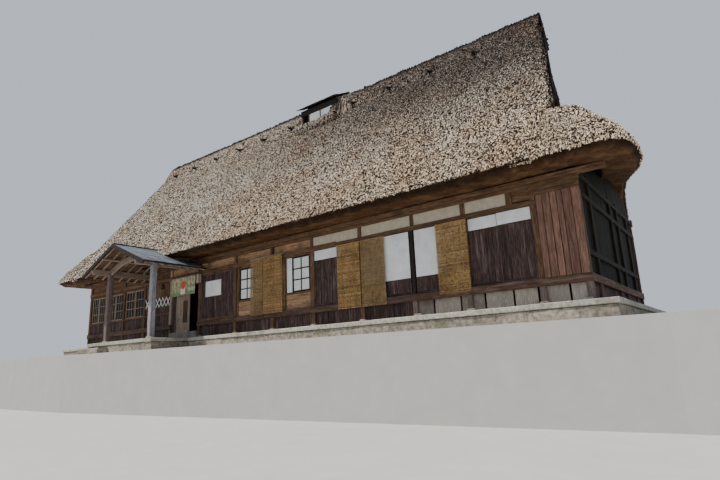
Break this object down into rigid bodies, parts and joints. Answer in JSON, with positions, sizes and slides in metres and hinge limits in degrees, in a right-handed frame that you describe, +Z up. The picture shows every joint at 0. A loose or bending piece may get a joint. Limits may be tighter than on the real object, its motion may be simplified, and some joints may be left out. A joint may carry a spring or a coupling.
{
  "type": "thatched farmhouse",
  "caption": "Long timber farmhouse with a steep thatched roof, rounded end skirts, sliding doors, reed blinds, a gabled porch and a low stone plinth.",
  "frame": {"origin": "on the ground under the middle of the plinth's main block", "axes": "+X east along the front wall, towards the plank bay; +Y from the front wall to the back wall; +Z up"},
  "size_m": [26.86, 11.1783, 10.7],
  "materials": {
    "stone": "rough grey stone",
    "timber": "weathered brown timber",
    "dark_board": "dark weathered boards",
    "red_board": "reddish weathered planks",
    "light_board": "light brown boards",
    "paper": "white paper panels",
    "plaster": "pale lime plaster",
    "reed": "golden-brown woven reed",
    "thatch": "grey-tan weathered reed thatch",
    "bark": "dark bark and moss",
    "slate": "dark blue-grey slate",
    "cloth": "pale green woven cloth",
    "iron": "dark cast iron",
    "window_pane": "frosted pale panes"
  },
  "bodies": {
    "house": {"plinth_base": "stone", "plinth_kerb": "stone", "porch_step": "stone", "wall_base_front_east": "timber", "wall_base_front_west": "timber", "wall_base_back": "timber", "wall_base_east": "timber", "wall_base_west": "timber", "threshold": "timber", "front_frame_east": "timber", "front_wall_middle": "timber", "front_wall_west": "timber", "plate_front": "timber", "plate_back": "timber", "entrance_panel": "timber", "noren_rod": "timber", "back_wall": "timber", "porch_frame": "timber", "fixed_panel_west": "dark_board", "gable_east": "dark_board", "gable_west": "dark_board", "wall_east": "dark_board", "wall_west": "dark_board", "plank_wall_east": "red_board", "raised_floor": "light_board", "porch_lamp": "light_board", "fixed_panel_east": "paper", "fixed_panel_middle": "paper", "wall_sign": "paper", "plaster_band": "plaster", "reed_blind_a": "reed", "reed_blind_b": "reed", "reed_blind_c": "reed", "reed_blind_pair": "reed", "thatch_front": "thatch", "thatch_back": "thatch", "thatch_skirt_east": "thatch", "thatch_skirt_west": "thatch", "ridge_cap_west": "bark", "ridge_cap_east": "bark", "smoke_vent": "bark", "porch_roof": "slate", "noren": "cloth", "porch_bell": "iron", "window_east": "window_pane", "window_west": "window_pane", "lattice_windows": "window_pane", "back_windows": "window_pane"},
    "board_door_east_body": {"board_door_east": "dark_board"},
    "board_door_middle_body": {"board_door_middle": "dark_board"},
    "paper_door_east_body": {"paper_door_east": "paper"},
    "paper_door_west_body": {"paper_door_west": "paper"},
    "board_door_west_body": {"board_door_west": "dark_board"},
    "entrance_door_body": {"entrance_door": "light_board"}
  },
  "joints": [
    {"name": "board_door_east_slide", "type": "slide", "parent": "house", "child": "board_door_east_body", "axis": [1, 0, 0], "range_m": [-0.83, 0]},
    {"name": "board_door_middle_slide", "type": "slide", "parent": "house", "child": "board_door_middle_body", "axis": [1, 0, 0], "range_m": [0, 0.83]},
    {"name": "paper_door_east_slide", "type": "slide", "parent": "house", "child": "paper_door_east_body", "axis": [1, 0, 0], "range_m": [0, 0.515]},
    {"name": "paper_door_west_slide", "type": "slide", "parent": "house", "child": "paper_door_west_body", "axis": [1, 0, 0], "range_m": [-0.695, 0]},
    {"name": "board_door_west_slide", "type": "slide", "parent": "house", "child": "board_door_west_body", "axis": [1, 0, 0], "range_m": [0, 0.845]},
    {"name": "entrance_door_slide", "type": "slide", "parent": "house", "child": "entrance_door_body", "axis": [1, 0, 0], "range_m": [-0.33, 0.57]}
  ]
}
